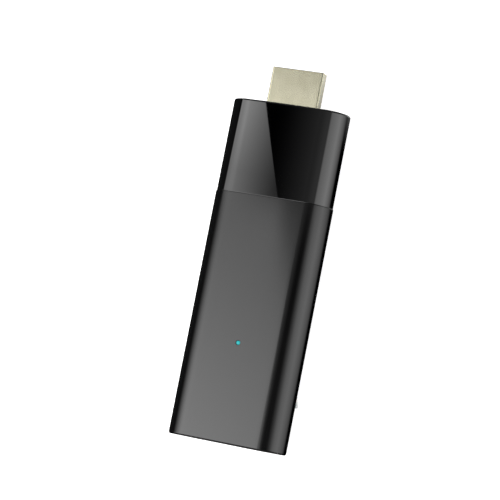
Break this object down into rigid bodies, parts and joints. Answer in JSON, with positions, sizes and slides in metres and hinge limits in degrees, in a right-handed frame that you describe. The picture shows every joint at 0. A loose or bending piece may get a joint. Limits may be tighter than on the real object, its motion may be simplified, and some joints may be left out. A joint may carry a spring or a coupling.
{
  "type": "streaming media stick",
  "caption": "Slim black streaming media stick with a satin sleeve, a glossy nose, a pale gold video plug, a cyan status lamp and a sprung side button.",
  "frame": {"origin": "on the flat of the back, on the middle line, half way along the case without its plug", "axes": "+Z out of the front face, where the lamp is; +Y along the stick towards the plug's tip; +X towards the side with the button. The stick lies on its back"},
  "size_m": [0.0314, 0.0962, 0.0116],
  "materials": {
    "satin_case": "satin, finely textured",
    "gloss_case": "mirror gloss",
    "tray_plastic": "plain moulded",
    "label_film": "matt film, nothing printed",
    "plug_plating": "pale gold flash over nickel, satin",
    "contact_gold": "gold plated",
    "insulator": "plain moulded",
    "steel_sheet": "tinned sheet",
    "screw_steel": "zinc plated",
    "circuit_board": "green solder resist over glass cloth",
    "chip_resin": "moulded resin",
    "ferrite": "dull sintered",
    "led_package": "white package with a clear window",
    "thermal_pad": "soft matt pad",
    "heat_plate": "milled, plain",
    "clear_lens": "clear moulded acrylic, lit cyan",
    "button_plastic": "smooth, light"
  },
  "bodies": {
    "case": {"body_sleeve": "satin_case", "nose_cap": "gloss_case", "tail_plate": "satin_case", "board_tray": "tray_plastic", "back_label": "label_film", "hdmi_shell": "plug_plating", "hdmi_insulator": "insulator", "hdmi_contact_1": "contact_gold", "hdmi_contact_2": "contact_gold", "hdmi_contact_3": "contact_gold", "hdmi_contact_4": "contact_gold", "hdmi_contact_5": "contact_gold", "hdmi_contact_6": "contact_gold", "hdmi_contact_7": "contact_gold", "hdmi_contact_8": "contact_gold", "hdmi_contact_9": "contact_gold", "hdmi_contact_10": "contact_gold", "hdmi_contact_11": "contact_gold", "hdmi_contact_12": "contact_gold", "hdmi_contact_13": "contact_gold", "hdmi_contact_14": "contact_gold", "hdmi_contact_15": "contact_gold", "hdmi_contact_16": "contact_gold", "hdmi_contact_17": "contact_gold", "hdmi_contact_18": "contact_gold", "hdmi_contact_19": "contact_gold", "usb_shell": "steel_sheet", "usb_tongue": "insulator", "main_board": "circuit_board", "board_screw_1": "screw_steel", "board_screw_2": "screw_steel", "board_screw_3": "screw_steel", "board_screw_4": "screw_steel", "processor": "chip_resin", "memory_chip_1": "chip_resin", "memory_chip_2": "chip_resin", "storage_chip": "chip_resin", "power_chip": "chip_resin", "crystal": "steel_sheet", "inductor_1": "ferrite", "inductor_2": "ferrite", "tantalum_capacitor": "chip_resin", "status_led": "led_package", "radio_module": "circuit_board", "radio_can": "steel_sheet", "shield_fence": "steel_sheet", "shield_cover": "steel_sheet", "thermal_pad_1": "thermal_pad", "thermal_pad_2": "thermal_pad", "heat_spreader": "heat_plate", "antenna_left": "steel_sheet", "antenna_right": "steel_sheet", "light_pipe": "clear_lens", "switch_base": "insulator", "switch_cover": "steel_sheet"},
    "side_button": {"side_button": "button_plastic"},
    "switch_plunger": {"switch_plunger": "button_plastic"}
  },
  "joints": [
    {"name": "button_press", "type": "slide", "parent": "case", "child": "side_button", "axis": [-1, 0, 0], "range_m": [0, 0.0003], "stiffness_N_per_m": 1500},
    {"name": "plunger_press", "type": "slide", "parent": "case", "child": "switch_plunger", "axis": [-1, 0, 0], "range_m": [0, 0.0003]}
  ],
  "couplings": [
    {"joint": "plunger_press", "follows": "button_press", "ratio": 1}
  ]
}
